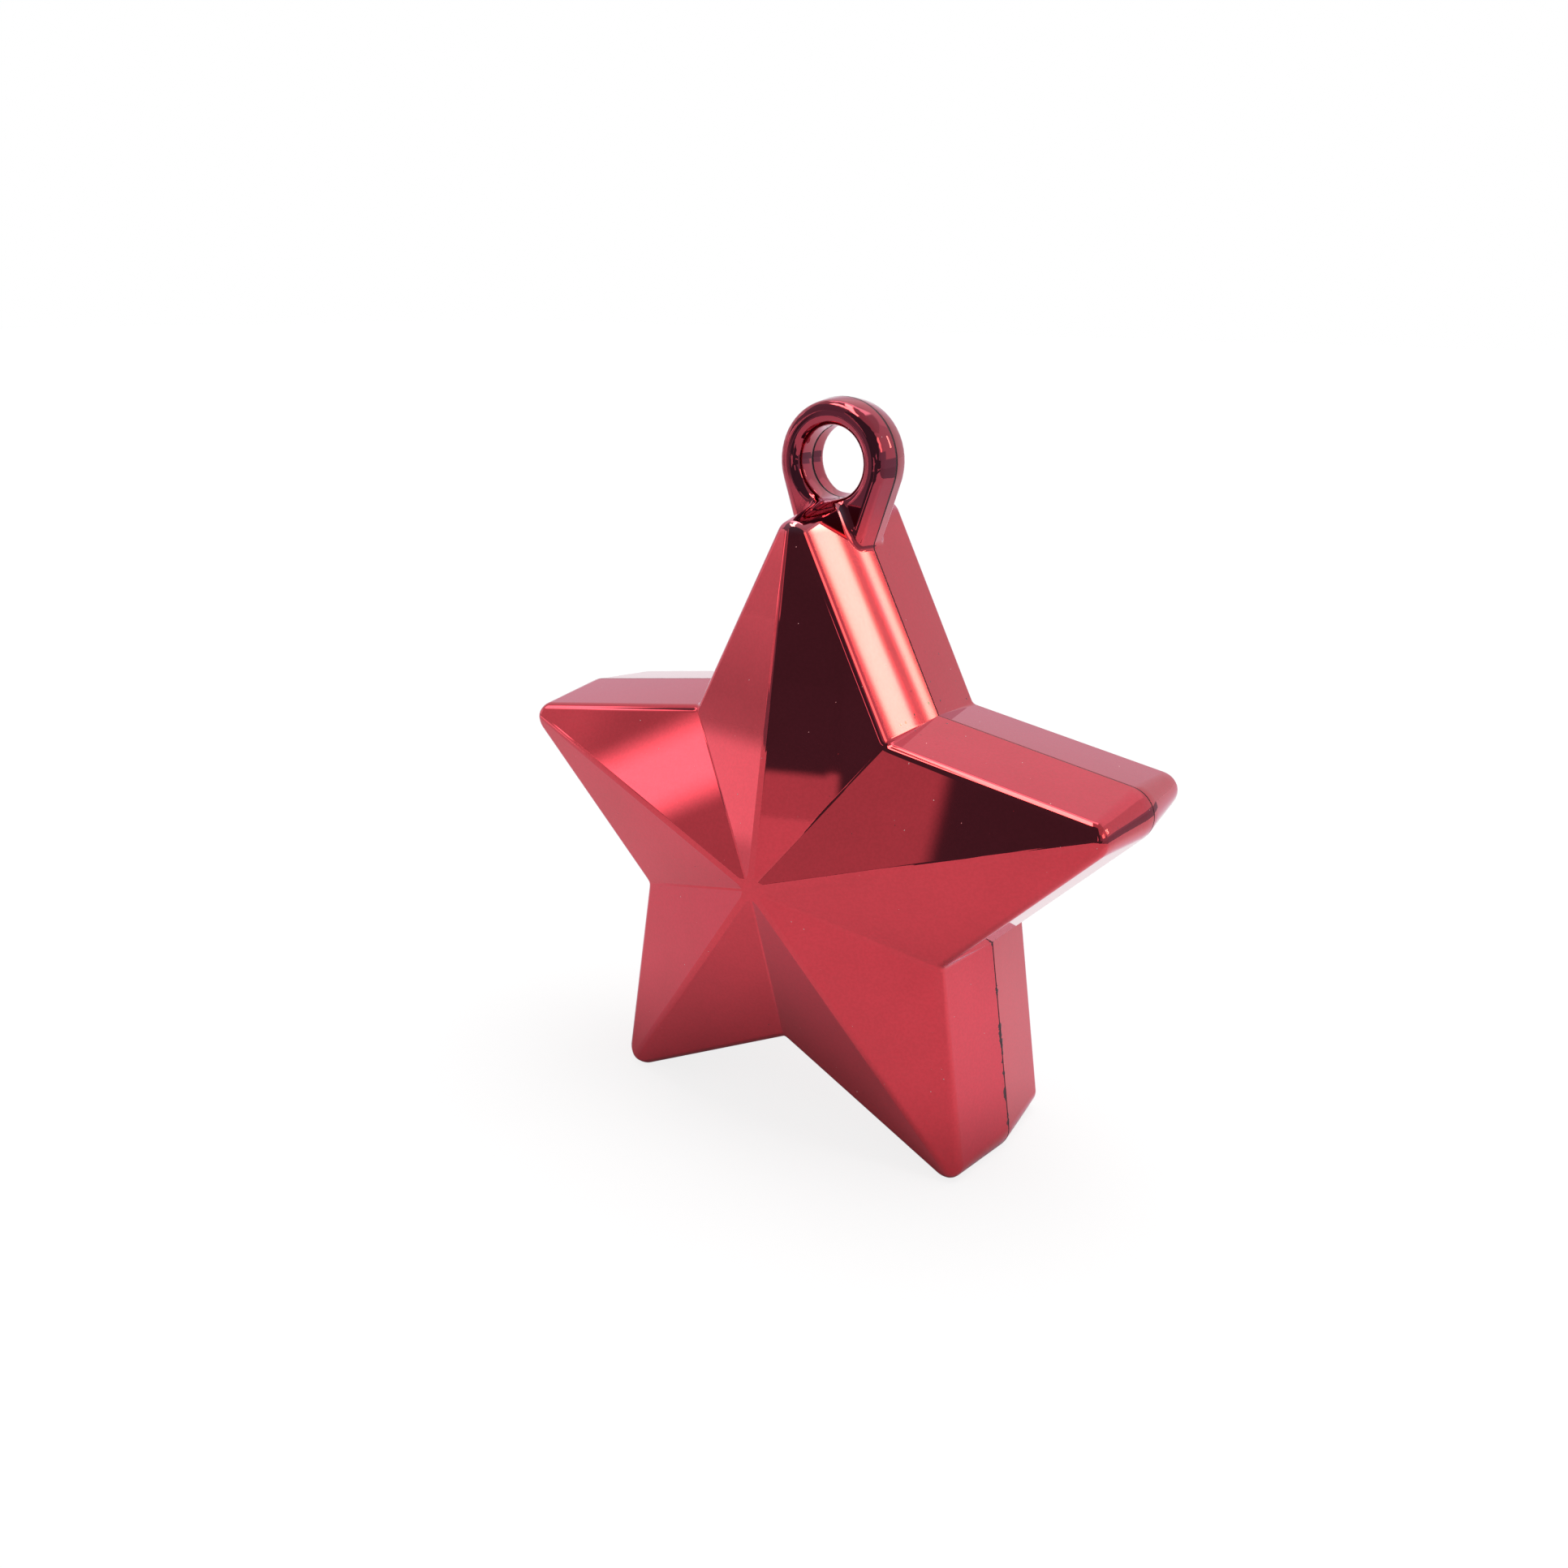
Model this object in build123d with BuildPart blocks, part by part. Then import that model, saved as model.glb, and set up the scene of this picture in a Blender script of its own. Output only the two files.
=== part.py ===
"""Star-shaped balloon weight: two moulded half shells with a ribbon eye, each filled with cast ballast.

Millimetres, +Z up, the front faces -Y. The star stands on its two lower arms, with z = 0 on the table.
"""

import os
from math import asin, atan, cos, degrees, pi, radians, sin, sqrt, tan

from build123d import *

os.makedirs("parts", exist_ok=True)

# Star outline, on the parting plane between the two halves
arm_count = 5
star_tip_radius = 48.0  # to the sharp corner that the rounded tip replaces
star_notch_radius = 24.5
tip_round = 3.4
crown_round = 2.2  # along the whole tip of the top arm, which carries the eye

# Sides and faceted face of one half
rim_depth = 11.0
side_draft = 6.1
apex_rise = 7.8
ridge_round = 1.5
valley_round = 1.0
apex_land = 0.53  # of each edge of the blunt apex, between the rounds of a ridge and a valley
rim_round = 1.4

# Eye for the ribbon
bore_radius = 4.25
bore_bite = 0.92  # of the bore into the rounded tip of the top arm
eye_radius = 7.45
eye_half_thickness = 3.2
eye_flank_draft = 8.0
eye_leg_lean = 18.5
eye_land = 0.15  # left flat on the face of the eye, between its outer and its inner round
neck_round = 1.2

# Standing flats under the two lower arms
foot_trim = 1.0

# Walls and the joint between the halves
wall = 1.8
tip_flat_depth = 0.93  # of the flat that ends the wall's outline, inside each rounded tip
tongue_thickness = 0.8
tongue_height = 1.5
tongue_clearance = 0.08
groove_end_clearance = 0.2

# Ballast
ballast_clearance = 0.15
front_fill_drop = 1.0  # from the parting plane to the surface of the fill
rear_fill_drop = 2.2

# Worked out from the dimensions above
half_step = pi / arm_count
side_length = sqrt(
    star_tip_radius**2
    + star_notch_radius**2
    - 2 * star_tip_radius * star_notch_radius * cos(half_step)
)
side_distance = star_tip_radius * star_notch_radius * sin(half_step) / side_length
tip_half_angle = asin(side_distance / star_tip_radius)
rim_inset = rim_depth * tan(radians(side_draft))
facet_slope = atan(apex_rise / (side_distance - rim_inset))
apex_depth = rim_depth + apex_rise
ridge_width = ridge_round * tan(asin(cos(tip_half_angle) * sin(facet_slope)))
valley_width = valley_round * tan(asin(cos(tip_half_angle + half_step) * sin(facet_slope)))
apex_edge = ridge_width / sin(tip_half_angle) + apex_land + valley_width / sin(tip_half_angle + half_step)
apex_cut = apex_edge * side_distance / side_length * tan(facet_slope)  # lost of the rise to the blunt apex
tip_centre = star_tip_radius - tip_round / sin(tip_half_angle)
wall_tip_reach = tip_centre + tip_round - tip_flat_depth
crown_reach = star_tip_radius + crown_round - crown_round / sin(tip_half_angle)
eye_centre = crown_reach - bore_bite + bore_radius
eye_face_width = eye_radius - eye_half_thickness * tan(radians(eye_flank_draft)) - bore_radius
eye_edge_round = (eye_face_width - eye_land) / 2
star_height = tip_centre * cos(half_step) + tip_round - foot_trim

front_plane = Plane(origin=(0, 0, star_height), x_dir=(1, 0, 0), z_dir=(0, -1, 0))
rear_plane = Plane(origin=(0, 0, star_height), x_dir=(-1, 0, 0), z_dir=(0, 1, 0))


def star_corners(inset):
    """Corners of the sharp star, every side moved inwards by inset, from the top tip onwards."""
    share = 1 - inset / side_distance
    corners = []
    for step in range(2 * arm_count):
        radius = star_notch_radius if step % 2 else star_tip_radius
        angle = pi / 2 + step * half_step
        corners.append((share * radius * cos(angle), share * radius * sin(angle)))
    return corners


def wall_outline(inset):
    """Draws an outline that follows the cavity's, so that a wall between two of them is even."""
    Polygon(*star_corners(inset), align=None)
    RegularPolygon(
        wall_tip_reach - inset,
        arm_count,
        major_radius=False,
        rotation=90 - degrees(half_step),
        mode=Mode.INTERSECT,
    )


def faceted_star(lowering):
    """Makes the solid under the ten facets, all lowered by lowering: five arms round a blunt apex."""
    corners = star_corners(rim_inset - (rim_depth - lowering) / tan(facet_slope))
    apex = (0, 0, apex_depth - lowering)
    across = cos(tip_half_angle) * sin(facet_slope)
    along = sin(tip_half_angle) * sin(facet_slope)
    with BuildPart() as arm:
        with BuildSketch():
            Polygon((0, 0), corners[-1], corners[0], corners[1], align=None)
        extrude(amount=apex_depth - lowering - apex_cut)
        split(bisect_by=Plane(apex, z_dir=(across, along, cos(facet_slope))), keep=Keep.BOTTOM)
        split(bisect_by=Plane(apex, z_dir=(-across, along, cos(facet_slope))), keep=Keep.BOTTOM)
    with BuildPart() as star:
        with PolarLocations(0, arm_count):
            add(arm.part)
    return star.part


def room(clearance):
    """Makes the room inside one half, smaller by clearance all round."""
    ceiling = faceted_star((wall + clearance) / cos(facet_slope))
    with BuildPart() as form:
        with BuildSketch():
            wall_outline(wall + clearance)
        with BuildSketch(Plane.XY.offset(apex_depth)):
            wall_outline(wall + clearance + apex_depth * tan(radians(side_draft)))
        loft(ruled=True)
        add(ceiling, mode=Mode.INTERSECT)
    return form.part


# Each half is modelled with its parting plane on XY, the top arm along Y and the apex along Z

# Ten facets that rise to the blunt apex, with rounded ridges and valleys
with BuildPart() as facets:
    add(faceted_star(0))
    slopes = facets.edges().filter_by_position(Axis.Z, apex_cut, apex_depth - 2 * apex_cut)
    fillet(slopes.sort_by(SortBy.LENGTH)[arm_count:], radius=ridge_round)
    slopes = facets.edges().filter_by_position(Axis.Z, apex_cut, apex_depth - 2 * apex_cut)
    fillet(slopes.sort_by(SortBy.LENGTH)[:arm_count], radius=valley_round)

# Plate of the eye: a disc that two straight legs carry down into the top arm
leg_lean = radians(eye_leg_lean)
leg_top = (eye_radius * cos(leg_lean), eye_centre - eye_radius * sin(leg_lean))
leg_foot = (0, eye_centre - eye_radius / sin(leg_lean))
with BuildPart() as eye_plate:
    with BuildSketch():
        with Locations((0, eye_centre)):
            Circle(eye_radius)
        Polygon(leg_top, (-leg_top[0], leg_top[1]), leg_foot, align=None)
    extrude(amount=eye_half_thickness, taper=eye_flank_draft)
    fillet(eye_plate.faces().sort_by(Axis.Z)[-1].edges(), radius=eye_edge_round)

# Outer form of one half, which both shells share
with BuildPart() as half:
    with BuildSketch():
        Polygon(*star_corners(0), align=None)
        fillet(vertices().sort_by_distance((0, 0))[arm_count:].sort_by(Axis.Y)[:-1], radius=tip_round)
    extrude(amount=apex_depth, taper=side_draft)
    fillet(half.edges().filter_by(Plane.XY, reverse=True).sort_by(Axis.Y)[-1], radius=crown_round)
    add(facets.part, mode=Mode.INTERSECT)
    fillet(half.edges(Select.NEW), radius=rim_round)
    add(eye_plate.part)
    fillet(half.edges(Select.NEW), radius=neck_round)
    with BuildSketch():
        with Locations((0, eye_centre)):
            Circle(bore_radius)
    extrude(amount=apex_depth, mode=Mode.SUBTRACT)
    fillet(half.edges(Select.NEW).sort_by(Axis.Z)[1:], radius=eye_edge_round)
    split(bisect_by=Plane((0, -star_height, 0), z_dir=(0, 1, 0)), keep=Keep.TOP)

cavity = room(0)
fill = room(ballast_clearance)

# Front half, with the tongue that locates the rear half
with BuildPart(front_plane) as front_shell:
    add(half.part)
    add(cavity, mode=Mode.SUBTRACT)
    with BuildSketch(rear_plane):
        wall_outline(wall - tongue_thickness)
    extrude(amount=tongue_height)
    with BuildSketch(rear_plane):
        wall_outline(wall)
    extrude(amount=tongue_height, mode=Mode.SUBTRACT)
front_shell.part.label = "front_shell"
export_step(front_shell.part, "parts/front_shell.step")

# Rear half, with the groove that takes the tongue
with BuildPart(rear_plane) as rear_shell:
    add(half.part)
    add(cavity, mode=Mode.SUBTRACT)
    with BuildSketch(rear_plane) as groove_inside:
        wall_outline(wall + tongue_thickness)
    with BuildSketch(rear_plane):
        wall_outline(wall - tongue_thickness - tongue_clearance)
        add(groove_inside.sketch_local, mode=Mode.SUBTRACT)
    extrude(amount=tongue_height + groove_end_clearance, mode=Mode.SUBTRACT)
rear_shell.part.label = "rear_shell"
export_step(rear_shell.part, "parts/rear_shell.step")

# Ballast cast into each half, up to a level short of the joint
with BuildPart(front_plane) as front_ballast:
    add(fill)
    split(bisect_by=front_plane.offset(front_fill_drop), keep=Keep.TOP)
front_ballast.part.label = "front_ballast"
export_step(front_ballast.part, "parts/front_ballast.step")

with BuildPart(rear_plane) as rear_ballast:
    add(fill)
    split(bisect_by=rear_plane.offset(rear_fill_drop), keep=Keep.TOP)
rear_ballast.part.label = "rear_ballast"
export_step(rear_ballast.part, "parts/rear_ballast.step")
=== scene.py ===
"""Studio scene for a star balloon weight: two red plated half shells with a ribbon eye, and their fill."""

import logging
from dataclasses import dataclass
from enum import Enum
from math import cos, radians, sin, tan
from typing import Union

import bmesh
import bpy
from mathutils import Matrix, Vector


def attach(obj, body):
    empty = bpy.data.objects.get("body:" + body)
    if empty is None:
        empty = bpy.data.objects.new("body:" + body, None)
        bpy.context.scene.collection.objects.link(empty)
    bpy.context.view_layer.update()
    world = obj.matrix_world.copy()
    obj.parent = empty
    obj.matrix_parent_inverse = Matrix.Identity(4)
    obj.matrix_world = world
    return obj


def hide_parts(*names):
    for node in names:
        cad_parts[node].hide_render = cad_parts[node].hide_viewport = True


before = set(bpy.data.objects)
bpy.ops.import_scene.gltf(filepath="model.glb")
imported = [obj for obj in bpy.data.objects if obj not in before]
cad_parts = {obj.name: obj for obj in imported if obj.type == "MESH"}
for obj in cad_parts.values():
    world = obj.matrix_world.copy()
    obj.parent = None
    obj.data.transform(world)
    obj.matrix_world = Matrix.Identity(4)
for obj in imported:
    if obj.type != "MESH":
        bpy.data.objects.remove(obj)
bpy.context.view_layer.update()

MILLIMETRE = 0.001
BODY = "root"
STAR_CENTRE = Vector((0.0, 0.0, 0.045))

WHITE = (1.0, 1.0, 1.0, 1.0)
SPECK_EDGE = (1.0, 0.6)

# Places of the colour sockets on a Mix node
MIX_SHARE, MIX_FIRST, MIX_SECOND, MIX_RESULT = 0, 6, 7, 2

Colour = tuple[float, float, float]
Span = tuple[float, float]
Value = Union["Socket", float]

log = logging.getLogger("star_weight")


def millimetres(low: float, high: float) -> Span:
    """Turns a span in millimetres into metres."""
    return (low * MILLIMETRE, high * MILLIMETRE)


class Side(Enum):
    """The two halves of the star, by the name that their pieces carry."""

    FRONT = "front"
    REAR = "rear"


class Slot(Enum):
    """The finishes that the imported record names."""

    PLATING = "plated_red"
    MORTAR = "mortar"


# Round along each half's edge of the seam
SEAM_ROUNDS = {Side.FRONT: 0.12 * MILLIMETRE, Side.REAR: 0.2 * MILLIMETRE}


class Socket:
    """A shader socket that can stand in a Python expression of values."""

    def __init__(self, tree: "ShaderTree", link: bpy.types.NodeSocket) -> None:
        """Keeps the tree and the output that the expression goes on from."""
        self.tree = tree
        self.link = link

    def math(self, operation: str, *others: Value) -> "Socket":
        """Adds a Math node that starts from this socket.

        Args:
            operation: Blender's name for the operation.
            others: the second and third operands, as sockets or numbers.

        Returns:
            The result's socket.
        """
        return self.tree.math(operation, self, *others)

    def __add__(self, other: Value) -> "Socket":
        """This plus other."""
        return self.math("ADD", other)

    def __radd__(self, other: Value) -> "Socket":
        """Other plus this."""
        return self.tree.math("ADD", other, self)

    def __sub__(self, other: Value) -> "Socket":
        """This less other."""
        return self.math("SUBTRACT", other)

    def __rsub__(self, other: Value) -> "Socket":
        """Other less this."""
        return self.tree.math("SUBTRACT", other, self)

    def __mul__(self, other: Value) -> "Socket":
        """This times other."""
        return self.math("MULTIPLY", other)

    def __rmul__(self, other: Value) -> "Socket":
        """Other times this."""
        return self.tree.math("MULTIPLY", other, self)

    def __truediv__(self, other: Value) -> "Socket":
        """This over other."""
        return self.math("DIVIDE", other)

    def __pow__(self, other: Value) -> "Socket":
        """This to the power of other."""
        return self.math("POWER", other)

    def __abs__(self) -> "Socket":
        """This without its sign."""
        return self.math("ABSOLUTE")

    def rise(self, low: Value, high: Value) -> "Socket":
        """Climbs smoothly from 0, where this is at low, to 1, where it is at high.

        Args:
            low: the value where the climb starts.
            high: the value where it ends; below low, the climb is a fall.

        Returns:
            The climb's socket, from 0 to 1.
        """
        inputs = {"Value": self, "From Min": low, "From Max": high}
        return self.tree.add("ShaderNodeMapRange", {"interpolation_type": "SMOOTHSTEP"}, inputs)


class ShaderTree:
    """A material's or the world's nodes, and the few ways in which this scene adds to them."""

    def __init__(self, owner: Union[bpy.types.Material, bpy.types.World]) -> None:
        """Empties the owner's node tree."""
        owner.use_nodes = True
        self.nodes = owner.node_tree.nodes
        self.links = owner.node_tree.links
        self.nodes.clear()

    def add(
        self,
        kind: str,
        settings: dict[str, object] | None = None,
        inputs: dict[str | int, object] | None = None,
        output: str | int = 0,
    ) -> Socket:
        """Adds any node.

        Args:
            kind: Blender's type name of the node.
            settings: the node's own settings, set before its sockets.
            inputs: values or links for its sockets, by name or place.
            output: the output to go on from.

        Returns:
            That output's socket.
        """
        node = self.nodes.new(kind)
        for name, value in (settings or {}).items():
            setattr(node, name, value)
        for name, value in (inputs or {}).items():
            if isinstance(value, Socket):
                self.links.new(value.link, node.inputs[name])
            else:
                node.inputs[name].default_value = value
        return Socket(self, node.outputs[output] if node.outputs else None)

    def math(self, operation: str, *operands: Value) -> Socket:
        """Adds a Math node.

        Args:
            operation: Blender's name for the operation.
            operands: sockets or numbers.

        Returns:
            The result's socket.
        """
        return self.add("ShaderNodeMath", {"operation": operation}, dict(enumerate(operands)))

    def mix(self, share: Value, first: Union[Socket, Colour], second: Union[Socket, Colour]) -> Socket:
        """Mixes two colours.

        Args:
            share: how much of the second colour, from 0 to 1.
            first: a colour or a colour's socket.
            second: the same.

        Returns:
            The mixed colour's socket.
        """
        colours = [c if isinstance(c, Socket) else (*c, 1.0) for c in (first, second)]
        inputs = {MIX_SHARE: share, MIX_FIRST: colours[0], MIX_SECOND: colours[1]}
        return self.add("ShaderNodeMix", {"data_type": "RGBA"}, inputs, MIX_RESULT)

    def blend(self, share: Value, first: Socket, second: Socket) -> Socket:
        """Blends two shaders, with a share of the second from 0 to 1."""
        return self.add("ShaderNodeMixShader", {}, {0: share, 1: first, 2: second})

    def ray(self, kind: str) -> Socket:
        """Whether a ray is of a kind, by the name that Light Path has for it."""
        return self.add("ShaderNodeLightPath", output=kind)

    def place(self) -> Socket:
        """The point on the piece, in metres."""
        return self.add("ShaderNodeTexCoord", output="Object")

    def axes(self, place: Socket) -> list[Socket]:
        """The three coordinates of a point."""
        return [self.add("ShaderNodeSeparateXYZ", {}, {0: place}, axis) for axis in "XYZ"]

    def noise(self, place: Socket, size: float, detail: float = 1.0, roughness: float = 0.5) -> Socket:
        """Adds soft noise.

        Args:
            place: where to read it.
            size: about how far apart its blotches are, in metres.
            detail: how many finer layers it has.
            roughness: how strong the finer layers are.

        Returns:
            A value around a half, from 0 to 1.
        """
        inputs = {"Vector": place, "Scale": 1 / size, "Detail": detail, "Roughness": roughness}
        return self.add("ShaderNodeTexNoise", {}, inputs)

    def specks(self, place: Socket, spacing: float, radius: float) -> Socket:
        """Scatters small round spots of many sizes.

        Args:
            place: where to read them.
            spacing: how far apart the spots' centres are in space, in metres.
            radius: of the largest spot, in metres.

        Returns:
            A mask, 1 in the spots.
        """
        cells = {"Vector": place, "Scale": 1 / spacing}
        distance = self.add("ShaderNodeTexVoronoi", {}, cells, "Distance")
        chance = self.add("ShaderNodeTexVoronoi", {}, cells, "Color")
        size = self.add("ShaderNodeSeparateColor", {}, {0: chance}) ** 2 * (radius / spacing)
        return (distance / size).rise(*SPECK_EDGE)

    def surface(self, shader: Socket, kind: str = "ShaderNodeOutputMaterial") -> None:
        """Ends the tree in its output node."""
        self.add(kind, {}, {"Surface": shader})


@dataclass(frozen=True)
class RedPlating:
    """A mirror-bright metal film under red lacquer, on moulded plastic that is never quite flat.

    A span runs from where a mask starts to rise to where it is full. Heights are from the table up, and
    depths from the seam, with the front below zero.
    """

    colour: Colour = (0.565, 0.015, 0.035)
    deep_colour: Colour = (0.48, 0.010, 0.026)
    # Painted shade: the eye's colour is darkened to stand in for the dark room that its mirror shows
    eye_painted_shade: Colour = (0.31, 0.007, 0.031)
    # Painted highlight: the crown beside the eye is paled to stand in for the pale reflections on it
    crown_painted_highlight: Colour = (0.6, 0.17, 0.22)
    dust_colour: Colour = (0.70, 0.52, 0.50)
    pit_colour: Colour = (0.05, 0.012, 0.014)
    worn_colour: Colour = (0.035, 0.016, 0.017)
    edge_tint: Colour = (0.8, 0.3, 0.5)
    roughness: float = 0.025
    lacquer: float = 0.9
    lacquer_roughness: float = 0.03

    drift_size: float = 9 * MILLIMETRE
    drift_span: Span = (0.35, 0.7)
    drift_share: float = 0.4
    drift_roughness: float = 0.015
    ripple_size: float = 12 * MILLIMETRE
    ripple_height: float = 0.008 * MILLIMETRE
    grain_size: float = 0.35 * MILLIMETRE
    grain_height: float = 0.00012 * MILLIMETRE
    grain_span: Span = (0.35, 0.65)
    grain_share: float = 0.5

    dust_spacing: float = 1.3 * MILLIMETRE
    dust_radius: float = 0.09 * MILLIMETRE
    dust_height: float = 0.02 * MILLIMETRE
    dust_cover: float = 0.8
    dust_roughness: float = 0.5
    pit_spacing: float = 1.7 * MILLIMETRE
    pit_radius: float = 0.09 * MILLIMETRE
    pit_depth: float = 0.03 * MILLIMETRE
    pit_roughness: float = 0.3
    cluster_spacing: float = 0.9 * MILLIMETRE
    cluster_radius: float = 0.2 * MILLIMETRE
    cluster_left: Span = millimetres(9, 12)
    cluster_right: Span = millimetres(19, 16)
    cluster_bottom: Span = millimetres(53, 55)
    cluster_top: Span = millimetres(68, 58)
    cluster_depth: Span = millimetres(-9, -4)

    eye_height: Span = millimetres(75, 81)
    crown_height: Span = millimetres(76.5, 78.5)
    crown_depth: Span = millimetres(3.25, 3.7)
    seam_line: float = 0.16 * MILLIMETRE
    eye_seam_line: float = 0.1 * MILLIMETRE
    seam_fade: Span = (1.0, 0.7)
    worn_cover: float = 0.9
    worn_roughness: float = 0.3
    chip_size: float = 2.2 * MILLIMETRE
    chip_span: Span = (0.5, 0.66)
    chip_reach: float = 0.45 * MILLIMETRE
    chip_side: Span = millimetres(10, 20)
    chip_height: Span = millimetres(32, 26)

    def make(self) -> bpy.types.Material:
        """Makes the material.

        Returns:
            The finished material.
        """
        material = bpy.data.materials.new(Slot.PLATING.value)
        tree = ShaderTree(material)
        place = tree.place()
        drift = tree.noise(place, self.drift_size, detail=3.0)
        grain = tree.noise(place, self.grain_size, detail=2.0)
        ripple = tree.noise(place, self.ripple_size, detail=0.5)
        dust = tree.specks(place, self.dust_spacing, self.dust_radius)
        pits = tree.specks(place, self.pit_spacing, self.pit_radius)
        pits = pits.math("MAXIMUM", self._pit_cluster(tree, place))
        worn = self._seam_wear(tree, place)
        colour = self._film(tree, place, drift, grain)
        colour = tree.mix(pits, colour, self.pit_colour)
        colour = tree.mix(dust * self.dust_cover, colour, self.dust_colour)
        colour = tree.mix(worn, colour, self.worn_colour)
        roughness = self.roughness + drift * self.drift_roughness + dust * self.dust_roughness
        height = ripple * self.ripple_height + grain * self.grain_height
        height = height + dust * self.dust_height - pits * self.pit_depth
        shader = tree.add(
            "ShaderNodeBsdfPrincipled",
            {},
            {
                "Base Color": colour,
                "Metallic": 1.0 - dust * self.dust_cover - worn * self.worn_cover,
                "Roughness": roughness + worn * self.worn_roughness + pits * self.pit_roughness,
                "Normal": tree.add("ShaderNodeBump", {}, {"Height": height, "Distance": 1.0}),
                "Specular Tint": (*self.edge_tint, 1.0),
                "Coat Weight": (1.0 - worn) * self.lacquer,
                "Coat Roughness": self.lacquer_roughness,
            },
        )
        tree.surface(shader)
        return material

    def _film(self, tree: ShaderTree, place: Socket, drift: Socket, grain: Socket) -> Socket:
        """Colours the sound film, which has painted shade that darkens the eye and a painted highlight
        that pales the tip of the top arm beside it.

        Args:
            tree: the material's tree.
            place: the point on the piece.
            drift: slow noise, for the lacquer's uneven depth.
            grain: fine noise, for its grain.

        Returns:
            The film's colour.
        """
        _, depth, up = tree.axes(place)
        lacquer_depth = drift.rise(*self.drift_span) * self.drift_share
        lacquer_depth = lacquer_depth + grain.rise(*self.grain_span) * self.grain_share
        colour = tree.mix(lacquer_depth, self.colour, self.deep_colour)
        # Painted shade darkens the eye's film
        colour = tree.mix(up.rise(*self.eye_height), colour, self.eye_painted_shade)
        # Painted highlight pales the crown beside the eye
        highlight_beside_eye = abs(depth).rise(*self.crown_depth)
        return tree.mix(highlight_beside_eye * up.rise(*self.crown_height), colour, self.crown_painted_highlight)

    def _pit_cluster(self, tree: ShaderTree, place: Socket) -> Socket:
        """Masks the pits that gather above the notch on the right of the top arm.

        Args:
            tree: the material's tree.
            place: the point on the piece.

        Returns:
            A mask, 1 in the pits.
        """
        across, depth, up = tree.axes(place)
        beside = across.rise(*self.cluster_left) * across.rise(*self.cluster_right)
        above = up.rise(*self.cluster_bottom) * up.rise(*self.cluster_top)
        near_seam = depth.rise(*self.cluster_depth)
        return tree.specks(place, self.cluster_spacing, self.cluster_radius) * beside * above * near_seam

    def _seam_wear(self, tree: ShaderTree, place: Socket) -> Socket:
        """Masks the seam between the halves, where the film is broken and here and there chipped.

        Args:
            tree: the material's tree.
            place: the point on the piece.

        Returns:
            A mask, 1 where the film is gone.
        """
        across, depth, up = tree.axes(place)
        chipped_leg = across.rise(*self.chip_side) * up.rise(*self.chip_height)
        chips = tree.noise(place, self.chip_size, detail=4.0, roughness=0.65).rise(*self.chip_span)
        on_eye = up.rise(*self.eye_height)
        reach = self.seam_line + on_eye * self.eye_seam_line + chips * chipped_leg * self.chip_reach
        return (abs(depth) / reach).rise(*self.seam_fade)


@dataclass(frozen=True)
class CastMortar:
    """Grey mortar with sand grains and small air holes."""

    pale: Colour = (0.42, 0.40, 0.37)
    dark: Colour = (0.24, 0.23, 0.21)
    sand: Colour = (0.55, 0.48, 0.38)
    roughness: float = 0.9
    sand_gloss: float = 0.2
    cloud_size: float = 6 * MILLIMETRE
    cloud_height: float = 0.3 * MILLIMETRE
    sand_spacing: float = 1.3 * MILLIMETRE
    sand_radius: float = 0.6 * MILLIMETRE
    sand_height: float = 0.15 * MILLIMETRE
    hole_spacing: float = 3.1 * MILLIMETRE
    hole_radius: float = 0.9 * MILLIMETRE
    hole_depth: float = 0.5 * MILLIMETRE

    def make(self) -> bpy.types.Material:
        """Makes the material.

        Returns:
            The finished material.
        """
        material = bpy.data.materials.new(Slot.MORTAR.value)
        tree = ShaderTree(material)
        place = tree.place()
        cloud = tree.noise(place, self.cloud_size, detail=5.0, roughness=0.6)
        sand = tree.specks(place, self.sand_spacing, self.sand_radius)
        holes = tree.specks(place, self.hole_spacing, self.hole_radius)
        colour = tree.mix(cloud, self.pale, self.dark)
        colour = tree.mix(sand, colour, self.sand)
        colour = tree.mix(holes, colour, self.dark)
        height = cloud * self.cloud_height + sand * self.sand_height - holes * self.hole_depth
        normal = tree.add("ShaderNodeBump", {}, {"Height": height, "Distance": 1.0})
        roughness = self.roughness - sand * self.sand_gloss
        inputs = {"Base Color": colour, "Roughness": roughness, "Normal": normal}
        tree.surface(tree.add("ShaderNodeBsdfPrincipled", {}, inputs))
        return material


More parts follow.
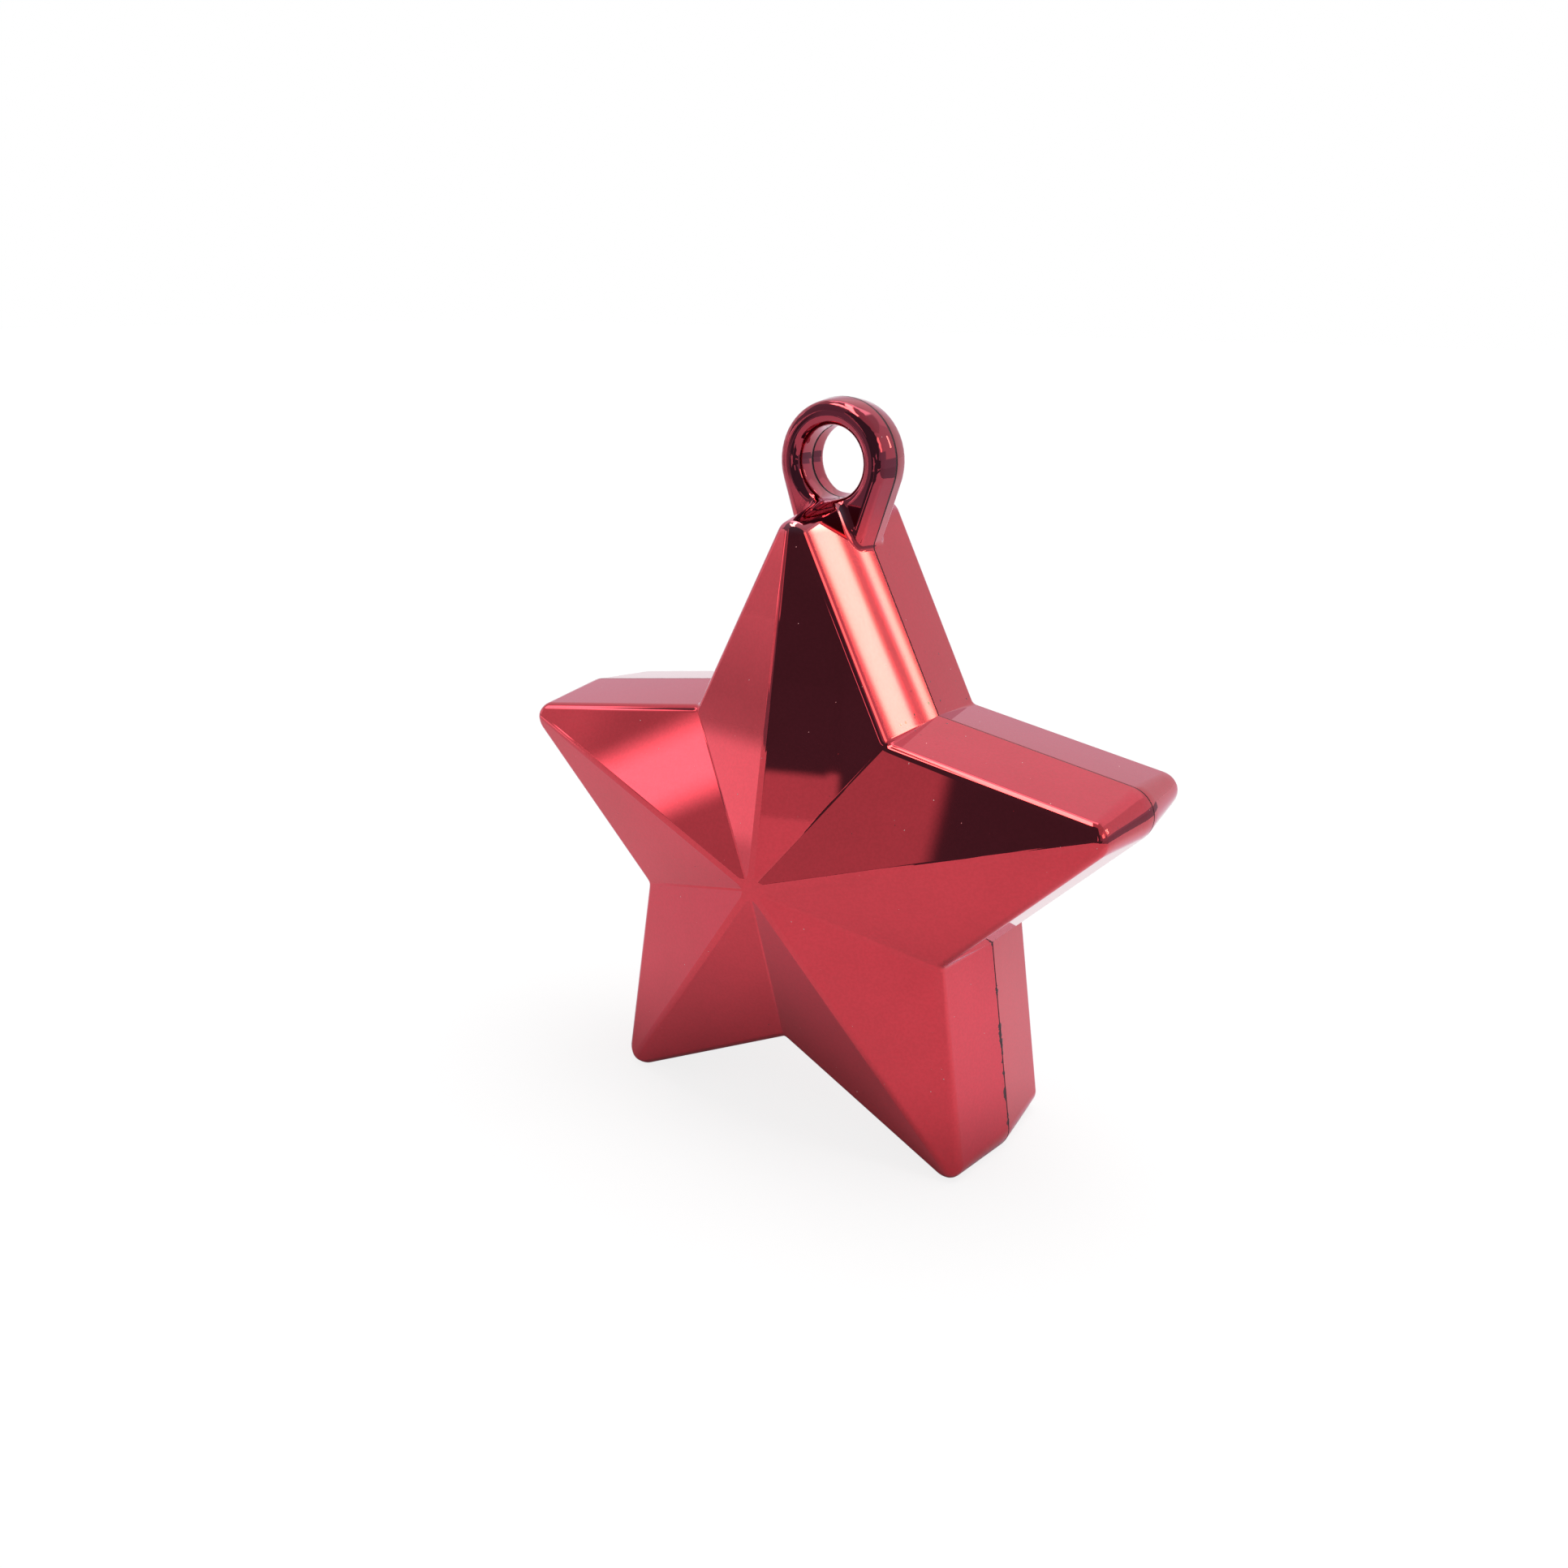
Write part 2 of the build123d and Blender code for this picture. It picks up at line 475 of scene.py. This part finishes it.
@dataclass
class HalfShell:
    """One moulded half of the star, with its half of the ribbon eye and a softened seam edge."""

    side: Side
    finish: bpy.types.Material
    merge_reach: float = 0.002 * MILLIMETRE
    flat_angle: float = radians(0.1)
    flat_area: float = 8 * MILLIMETRE**2
    joint_cosine: float = 0.99
    seam_segments: int = 5
    crease_angle: float = radians(24)

    def build(self) -> bpy.types.Object:
        """Builds the half on the solid's own form and sets it in its place.

        Returns:
            The half's object.
        """
        node = f"{self.side.value}_shell"
        shape = bmesh.new()
        shape.from_mesh(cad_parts[node].data)
        bmesh.ops.remove_doubles(shape, verts=shape.verts, dist=self.merge_reach)
        bmesh.ops.dissolve_limit(
            shape, angle_limit=self.flat_angle, verts=shape.verts, edges=shape.edges
        )
        self._soften_seam(shape)
        mesh = bpy.data.meshes.new(f"{self.side.value}_half")
        shape.to_mesh(mesh)
        shape.free()
        self._shade(mesh)
        half = bpy.data.objects.new(mesh.name, mesh)
        bpy.context.scene.collection.objects.link(half)
        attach(half, BODY)
        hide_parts(node)
        return half

    def _soften_seam(self, shape: bmesh.types.BMesh) -> None:
        """Rounds the outer edge where this half meets the other, round the star and through the eye.

        Args:
            shape: the half, with merged vertices.
        """
        on_seam = [e for e in shape.edges if all(abs(v.co.y) < self.merge_reach for v in e.verts)]
        outer = [e for e in on_seam if self._faces_out(e)]
        bmesh.ops.bevel(
            shape,
            geom=outer,
            offset=SEAM_ROUNDS[self.side],
            offset_type="OFFSET",
            affect="EDGES",
            segments=self.seam_segments,
            profile=0.5,
            material=-1,
            clamp_overlap=True,
        )

    def _faces_out(self, edge: bmesh.types.BMEdge) -> bool:
        """Whether an edge on the seam lies between the joint face and an outer face.

        Args:
            edge: an edge on the seam's plane.

        Returns:
            True for an outer corner.
        """
        outward = -1.0 if self.side is Side.FRONT else 1.0
        flats = [abs(face.normal.y) > self.joint_cosine for face in edge.link_faces]
        walls = [face for face, flat in zip(edge.link_faces, flats) if not flat]
        if len(walls) != 1 or not edge.is_convex:
            return False
        return walls[0].calc_center_median().y * outward > 0

    def _shade(self, mesh: bpy.types.Mesh) -> None:
        """Shades the mesh smoothly, apart from its real creases, and gives it its finish.

        Args:
            mesh: the half's mesh.
        """
        for name in ("custom_normal", "sharp_edge", "sharp_face"):
            layer = mesh.attributes.get(name)
            if layer is not None:
                mesh.attributes.remove(layer)
        mesh.shade_smooth()
        mesh.set_sharp_from_angle(angle=self.crease_angle)
        mesh.normals_split_custom_set(self._corner_normals(mesh))
        mesh.materials.clear()
        mesh.materials.append(self.finish)

    def _corner_normals(self, mesh: bpy.types.Mesh) -> list[Vector]:
        """Works out normals that keep large flat faces flat and let the rounds beside them run into them.

        Args:
            mesh: the half's mesh, with its creases marked.

        Returns:
            A normal for each corner of each face.
        """
        flats = [[] for _ in mesh.vertices]
        for face in mesh.polygons:
            if face.area > self.flat_area:
                for vertex in face.vertices:
                    flats[vertex].append(face.normal.copy())
        normals = [corner.vector.copy() for corner in mesh.corner_normals]
        for face in mesh.polygons:
            for corner, vertex in zip(face.loop_indices, face.vertices):
                beside = [n for n in flats[vertex] if n.angle(face.normal) < self.crease_angle]
                if beside:
                    normals[corner] = min(beside, key=face.normal.angle)
        return normals


@dataclass
class Ballast:
    """The fill that is cast into one half, which the solids already shape."""

    side: Side
    finish: bpy.types.Material

    def dress(self) -> bpy.types.Object:
        """Gives the fill its finish.

        Returns:
            The fill's object.
        """
        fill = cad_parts[f"{self.side.value}_ballast"]
        fill.data.materials.clear()
        fill.data.materials.append(self.finish)
        return fill


@dataclass
class StudioCard:
    """A card that faces the star, which only the plating's mirror sees; its angles are in degrees."""

    name: str
    azimuth: float
    elevation: float
    width: float
    height: float
    level: float
    lean: float = 0.0
    soft_edge: float = 1.0
    tint: Colour = (1.0, 1.0, 1.0)
    distance: float = 2.5

    def build(self) -> bpy.types.Object:
        """Sets the card up, facing the star.

        Returns:
            The card's object.
        """
        shape = bmesh.new()
        shape.loops.layers.uv.new("card")
        bmesh.ops.create_grid(shape, x_segments=1, y_segments=1, size=self.distance, calc_uvs=True)
        spread = (tan(radians(self.width / 2)), tan(radians(self.height / 2)), 1.0)
        bmesh.ops.scale(shape, vec=spread, verts=shape.verts)
        lean = Matrix.Rotation(radians(-self.lean), 4, "Z")
        tilt = Matrix.Rotation(radians(90 - self.elevation), 4, "X")
        turn = Matrix.Rotation(radians(self.azimuth), 4, "Z")
        shift = Matrix.Translation(STAR_CENTRE + self.distance * direction(self.azimuth, self.elevation))
        bmesh.ops.transform(shape, matrix=shift @ turn @ tilt @ lean, verts=shape.verts)
        mesh = bpy.data.meshes.new(self.name)
        shape.to_mesh(mesh)
        shape.free()
        mesh.materials.append(self._light())
        card = bpy.data.objects.new(self.name, mesh)
        bpy.context.scene.collection.objects.link(card)
        card.visible_camera = False
        card.visible_diffuse = False
        card.visible_shadow = False
        return card

    def _light(self) -> bpy.types.Material:
        """Makes the card's light.

        Returns:
            The card's material, which fades out at its edges.
        """
        material = bpy.data.materials.new(self.name)
        tree = ShaderTree(material)
        place = tree.add("ShaderNodeUVMap", {"uv_map": "card"})
        solid = self._inside(tree, place, "X", self.width) * self._inside(tree, place, "Y", self.height)
        light = tree.add("ShaderNodeEmission", {}, {"Color": (*self.tint, 1.0), "Strength": self.level})
        clear = tree.add("ShaderNodeBsdfTransparent")
        tree.surface(tree.blend(solid, clear, light))
        return material

    def _inside(self, tree: ShaderTree, place: Socket, axis: str, span: float) -> Socket:
        """Masks the card along one of its axes, with soft edges.

        Args:
            tree: the card's tree.
            place: the point on the card, from 0 to 1.
            axis: X or Y.
            span: the card's size along that axis, in degrees.

        Returns:
            A mask, 0 at both edges.
        """
        from_edge = (0.5 - abs(tree.add("ShaderNodeSeparateXYZ", {}, {0: place}, axis) - 0.5)) * span
        return from_edge.rise(0.0, self.soft_edge)


@dataclass
class Studio:
    """A white table in a white room, one soft high light, and the cards."""

    floor_size: float = 6.0
    floor_gap: float = 0.02 * MILLIMETRE
    floor_colour: Colour = (0.88, 0.88, 0.88)
    floor_white: float = 1.04
    floor_white_share: float = 0.8
    # A pool of window light painted on the table, which only the plating's mirror sees
    patch_centre: Span = millimetres(85, 30)
    patch_inner: float = 20 * MILLIMETRE
    patch_outer: float = 75 * MILLIMETRE
    patch_share: float = 0.22
    patch_level: float = 2.0
    room_level: float = 0.44
    mirrored_level: float = 0.9
    key_azimuth: float = 150.0
    key_elevation: float = 78.0
    key_strength: float = 2.1
    key_angle: float = 45.0

    def build(self) -> None:
        """Builds the floor, the room, the light and the cards."""
        self._floor()
        self._room()
        self._key_light()
        for card in self._cards():
            card.build()

    @staticmethod
    def _cards() -> list[StudioCard]:
        """The cards that the facets mirror.

        Returns:
            The cards, not yet built.
        """
        dusk = (0.45, 0.8, 0.9)
        cool = (0.65, 0.9, 1.0)
        warm = (1.0, 0.95, 0.7)
        cream = (1.0, 1.15, 0.74)
        # After its name, each card has its azimuth, elevation, width, height and level
        return [
            StudioCard("dark_screen", -4.25, 22.65, 29.5, 46.7, 0.19, tint=dusk, distance=1.2),
            StudioCard("dark_screen_low", 16.0, 21.7, 24.0, 48.6, 0.19, tint=dusk, distance=1.2),
            StudioCard("dark_post", 43.0, 20.0, 22.0, 44.0, 0.19, tint=dusk, distance=1.2),
            StudioCard("grey_post", 63.0, 20.0, 18.0, 44.0, 0.48, tint=cool, distance=1.2),
            StudioCard("bright_gap", 30.2, 15.0, 5.0, 40.0, 2.0, distance=1.3),
            StudioCard("dark_low_left", -20.5, 1.0, 29.0, 10.5, 0.19, tint=dusk, distance=0.6),
            StudioCard("dark_low_right", 43.0, 1.0, 58.0, 10.5, 0.19, tint=dusk, distance=0.6),
            StudioCard("grey_low_left", -36.0, -4.9, 18.0, 7.2, 0.48, tint=cool, distance=0.3),
            StudioCard("dark_low_near", -17.0, -5.0, 20.0, 11.0, 0.19, tint=dusk, distance=0.3),
            StudioCard("grey_low_right", 42.5, -4.9, 55.0, 7.2, 0.2, tint=dusk, distance=0.3),
            StudioCard("right_low", 112.0, 0.5, 80.0, 15.0, 0.6, soft_edge=2.0, tint=cool, distance=0.45),
            StudioCard("right_floor", 112.0, -4.6, 90.0, 15.0, 0.5, tint=cool, distance=0.2),
            StudioCard(
                "right_wall", 98.0, 12.0, 56.0, 16.0, 0.6, soft_edge=2.0, tint=cool, distance=0.45
            ),
            StudioCard(
                "eye_shade_left", -28.8, 16.7, 10.7, 36.0, 0.45, soft_edge=2.0, tint=cool, distance=0.157
            ),
            StudioCard("eye_shade", -1.0, 5.5, 20.0, 9.0, 0.2, tint=dusk, distance=0.12),
            StudioCard(
                "eye_hood_left", -50.0, 47.0, 44.0, 40.0, 0.38, soft_edge=3.0, tint=cool, distance=0.103
            ),
            StudioCard(
                "eye_hood_right", 22.0, 47.0, 66.0, 40.0, 0.2, soft_edge=3.0, tint=dusk, distance=0.103
            ),
            StudioCard("eye_shade_right", 24.0, 3.6, 30.0, 21.0, 0.2, tint=dusk, distance=0.12),
            StudioCard("right_glow", 90.0, 26.0, 26.0, 26.0, 3.5, soft_edge=4.0, tint=warm),
            StudioCard("grey_wall", -41.0, 18.0, 44.0, 27.0, 0.63, soft_edge=2.0, distance=2.9),
            StudioCard("pale_wall", -54.0, 14.0, 14.0, 30.0, 0.85, soft_edge=2.0, distance=2.8),
            StudioCard("side_glow", -44.4, 12.3, 4.4, 31.0, 3.0, lean=40.0, soft_edge=1.6),
            StudioCard(
                "window_wide", 138.31, 21.22, 1.13, 14.0, 9.5, lean=19.0, soft_edge=0.16, tint=cream
            ),
            StudioCard(
                "window_narrow", 139.58, 20.81, 0.42, 14.0, 9.0, lean=19.0, soft_edge=0.1, tint=cream
            ),
            StudioCard("left_wall", -78.0, 8.0, 30.0, 14.0, 1.2, soft_edge=3.0, distance=2.8),
            StudioCard("left_strip", -70.0, 30.0, 30.0, 18.0, 3.2, soft_edge=3.0),
            StudioCard(
                "front_lamp", -30.0, 65.0, 44.0, 15.0, 8.5, soft_edge=3.0, tint=warm, distance=2.0
            ),
            StudioCard("top_lamp", -80.0, 83.0, 50.0, 15.0, 8.5, soft_edge=3.0, tint=warm, distance=2.0),
            StudioCard("back_lamp", -155.0, 60.0, 50.0, 22.0, 2.5, soft_edge=4.0, distance=2.0),
            StudioCard("back_wall", -165.0, 40.0, 70.0, 20.0, 1.15, soft_edge=4.0, distance=2.2),
            StudioCard("ceiling", 0.0, 90.0, 94.0, 94.0, 0.65, soft_edge=3.0, distance=2.4),
            StudioCard("table_edge", -70.0, -2.6, 30.0, 13.4, 0.64, soft_edge=7.5, distance=0.4),
            StudioCard("table_top", -69.0, -7.4, 20.0, 8.5, 1.5, soft_edge=1.8, distance=0.22),
            StudioCard("front_edge", 4.0, -1.7, 7.0, 2.9, 0.72, soft_edge=0.2, distance=1.0),
        ]

    def _floor(self) -> None:
        """Lays the white table."""
        shape = bmesh.new()
        bmesh.ops.create_grid(shape, x_segments=1, y_segments=1, size=self.floor_size / 2)
        bmesh.ops.translate(shape, vec=(0.0, 0.0, -self.floor_gap), verts=shape.verts)
        mesh = bpy.data.meshes.new("table")
        shape.to_mesh(mesh)
        shape.free()
        material = bpy.data.materials.new("white_table")
        tree = ShaderTree(material)
        diffuse = tree.add("ShaderNodeBsdfDiffuse", {}, {"Color": (*self.floor_colour, 1.0)})
        white = tree.add("ShaderNodeEmission", {}, {"Color": WHITE, "Strength": self.floor_white})
        plain = tree.blend(tree.ray("Is Camera Ray") * self.floor_white_share, diffuse, white)
        # Painted light: a pool of window light on the table, an emission that only mirrored rays see
        painted_sunlight = tree.add("ShaderNodeEmission", {}, {"Color": WHITE, "Strength": self.patch_level})
        tree.surface(tree.blend(self._painted_window_light(tree) * self.patch_share, plain, painted_sunlight))
        mesh.materials.append(material)
        table = bpy.data.objects.new("table", mesh)
        bpy.context.scene.collection.objects.link(table)

    def _painted_window_light(self, tree: ShaderTree) -> Socket:
        """Masks a pool of window light painted on the table, which the right leg mirrors.

        Args:
            tree: the table's tree.

        Returns:
            A mask, 1 in the middle of the patch, for mirrored rays alone.
        """
        across, depth, _ = tree.axes(tree.place())
        away = ((across - self.patch_centre[0]) ** 2 + (depth - self.patch_centre[1]) ** 2) ** 0.5
        return away.rise(self.patch_outer, self.patch_inner) * tree.ray("Is Glossy Ray")

    def _room(self) -> None:
        """Makes the room white to the eye and to the plating, and plainer as a light."""
        world = bpy.data.worlds.new("white_room")
        tree = ShaderTree(world)
        mirrored = tree.ray("Is Glossy Ray").math("MAXIMUM", tree.ray("Is Transmission Ray"))
        plain = self.room_level + mirrored * (self.mirrored_level - self.room_level)
        strength = plain.math("MAXIMUM", tree.ray("Is Camera Ray"))
        room = tree.add("ShaderNodeBackground", {}, {"Color": WHITE, "Strength": strength})
        tree.surface(room, "ShaderNodeOutputWorld")
        bpy.context.scene.world = world

    def _key_light(self) -> None:
        """Hangs the soft high light behind the star's right side."""
        lamp = bpy.data.lights.new("window_light", "SUN")
        lamp.energy = self.key_strength
        lamp.angle = radians(self.key_angle)
        light = bpy.data.objects.new("window_light", lamp)
        light.rotation_mode = "QUATERNION"
        light.rotation_quaternion = direction(self.key_azimuth, self.key_elevation).to_track_quat("Z", "Y")
        bpy.context.scene.collection.objects.link(light)


@dataclass
class PhotoCamera:
    """The camera that took the picture, as the star's edges give it, with its turn in degrees."""

    location: tuple[float, float, float] = (0.0920, -0.147518, 0.103465)
    turn: tuple[float, float, float] = (70.8969, -0.6252, 34.3054)
    lens: float = 33.0853
    sensor: float = 36.0
    clip_start: float = 0.01

    def build(self) -> None:
        """Makes the camera and gives it to the scene."""
        data = bpy.data.cameras.new("photo_camera")
        data.lens = self.lens
        data.sensor_width = self.sensor
        data.clip_start = self.clip_start
        camera = bpy.data.objects.new("photo_camera", data)
        camera.location = self.location
        camera.rotation_euler = [radians(angle) for angle in self.turn]
        bpy.context.scene.collection.objects.link(camera)
        bpy.context.scene.camera = camera


def direction(azimuth: float, elevation: float) -> Vector:
    """The direction from the star to a point of the room.

    Args:
        azimuth: in degrees, 0 in front of the star and rising to its right.
        elevation: in degrees above the horizon.

    Returns:
        A unit vector.
    """
    turn, lift = radians(azimuth), radians(elevation)
    return Vector((sin(turn) * cos(lift), -cos(turn) * cos(lift), sin(lift)))


def main() -> None:
    """Builds the star and its studio."""
    logging.basicConfig(level=logging.INFO, format="%(name)s: %(message)s")
    PhotoCamera().build()
    plating = RedPlating().make()
    mortar = CastMortar().make()
    for side in Side:
        half = HalfShell(side, plating).build()
        log.info("%s: %d faces", half.name, len(half.data.polygons))
        fill = Ballast(side, mortar).dress()
        log.info("%s: dressed", fill.name)
    Studio().build()
    bpy.context.scene.view_settings.view_transform = "Standard"


if __name__ == "__main__":
    main()
